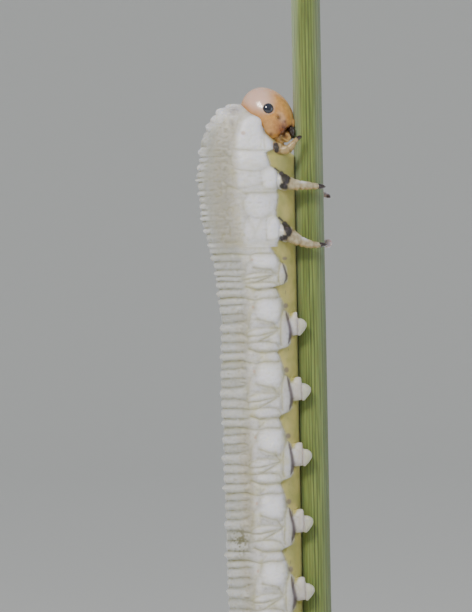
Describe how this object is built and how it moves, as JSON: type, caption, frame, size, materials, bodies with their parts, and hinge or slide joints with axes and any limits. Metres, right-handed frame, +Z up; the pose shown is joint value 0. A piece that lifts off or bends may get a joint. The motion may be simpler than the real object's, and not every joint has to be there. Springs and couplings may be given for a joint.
{
  "type": "sawfly larva",
  "caption": "Life-size display model of a milky white sawfly larva climbing a cut length of grass stem, head up, held by a small flat base and a short rod.",
  "frame": {"origin": "centre of the round base's underside, on the axis of the stem and the rod", "axes": "+Z up along the stem and rod, towards the larva's head; the larva's belly faces +X and its back -X; its left side is at +Y and its right side at -Y"},
  "size_m": [0.025, 0.025, 0.0472],
  "materials": {
    "larva_skin": "waxy, soft milky white",
    "head_capsule": "smooth tan horn with a gloss",
    "leg_horn": "pale translucent horn",
    "dark_horn": "dark brown polished horn",
    "eye_lens": "black and glossy",
    "grass_stem": "green stem with fine ridges",
    "stand_wood": "dark stained and satin",
    "stand_steel": "fine drawn steel"
  },
  "bodies": {
    "root": {"prothorax": "larva_skin", "mesothorax": "larva_skin", "metathorax": "larva_skin", "abdomen_1": "larva_skin", "abdomen_2": "larva_skin", "abdomen_3": "larva_skin", "abdomen_4": "larva_skin", "abdomen_5": "larva_skin", "abdomen_6": "larva_skin", "abdomen_7": "larva_skin", "abdomen_8": "larva_skin", "abdomen_9": "larva_skin", "abdomen_10": "larva_skin", "proleg_2_right": "larva_skin", "proleg_3_right": "larva_skin", "proleg_4_right": "larva_skin", "proleg_5_right": "larva_skin", "proleg_6_right": "larva_skin", "proleg_7_right": "larva_skin", "proleg_8_right": "larva_skin", "proleg_10_right": "larva_skin", "leg_front_right": "leg_horn", "leg_middle_right": "leg_horn", "leg_hind_right": "leg_horn", "eye_right": "eye_lens", "antenna_right": "leg_horn", "mandible_right": "dark_horn", "proleg_2_left": "larva_skin", "proleg_3_left": "larva_skin", "proleg_4_left": "larva_skin", "proleg_5_left": "larva_skin", "proleg_6_left": "larva_skin", "proleg_7_left": "larva_skin", "proleg_8_left": "larva_skin", "proleg_10_left": "larva_skin", "leg_front_left": "leg_horn", "leg_middle_left": "leg_horn", "leg_hind_left": "leg_horn", "eye_left": "eye_lens", "antenna_left": "leg_horn", "mandible_left": "dark_horn", "head": "head_capsule", "stem": "grass_stem", "stand_base": "stand_wood", "stand_rod": "stand_steel"}
  },
  "joints": []
}
